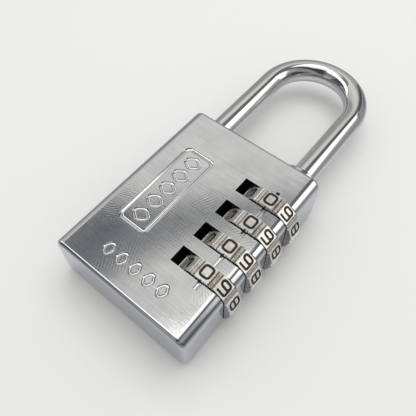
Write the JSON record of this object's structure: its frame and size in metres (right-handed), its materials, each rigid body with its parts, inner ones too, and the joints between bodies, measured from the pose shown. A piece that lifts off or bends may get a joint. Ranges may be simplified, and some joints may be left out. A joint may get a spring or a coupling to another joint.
{
  "type": "combination padlock",
  "caption": "Padlock with numbered wheels on one side of a flat metal body and a long U-shaped shackle that slides out when the code is set.",
  "frame": {"origin": "centre of the flat back face, which the lock lies on", "axes": "+X towards the wheels' side, +Y out of the shackle's end, +Z out of the front face"},
  "size_m": [0.0419, 0.0971, 0.017],
  "materials": {
    "body_chrome": "satin chrome plate, brushed across its width on both faces",
    "shackle_chrome": "polished chrome plate",
    "wheel_nickel": "warm satin nickel with black painted digits",
    "brass": "plain turned brass",
    "bush_chrome": "polished chrome plate",
    "steel": "plain turned steel",
    "spring_steel": "tempered spring steel"
  },
  "bodies": {
    "case": {"body": "body_chrome", "heel_bush": "bush_chrome", "stop_pin": "steel", "top_washer": "steel", "wave_washer": "spring_steel", "spacer_1": "steel", "spacer_2": "steel", "spacer_3": "steel", "spacer_4": "steel", "click_spring": "spring_steel", "shackle_spring": "spring_steel"},
    "shackle": {"shackle": "shackle_chrome"},
    "wheel_1": {"wheel_1": "wheel_nickel", "sleeve_1": "brass"},
    "wheel_2": {"wheel_2": "wheel_nickel", "sleeve_2": "brass"},
    "wheel_3": {"wheel_3": "wheel_nickel", "sleeve_3": "brass"},
    "wheel_4": {"wheel_4": "wheel_nickel", "sleeve_4": "brass"}
  },
  "joints": [
    {"name": "shackle_lift", "type": "slide", "parent": "case", "child": "shackle", "axis": [0, 1, 0], "range_m": [0, 0.00804], "deforming": ["shackle_spring"]},
    {"name": "wheel_1_turn", "type": "hinge", "parent": "case", "child": "wheel_1", "pos_m": [0.0135, 0.0133, 0.00875], "axis": [0, 1, 0], "continuous": true},
    {"name": "wheel_2_turn", "type": "hinge", "parent": "case", "child": "wheel_2", "pos_m": [0.0135, 0.00526, 0.00875], "axis": [0, 1, 0], "continuous": true},
    {"name": "wheel_3_turn", "type": "hinge", "parent": "case", "child": "wheel_3", "pos_m": [0.0135, -0.00278, 0.00875], "axis": [0, 1, 0], "continuous": true},
    {"name": "wheel_4_turn", "type": "hinge", "parent": "case", "child": "wheel_4", "pos_m": [0.0135, -0.01082, 0.00875], "axis": [0, 1, 0], "continuous": true}
  ]
}
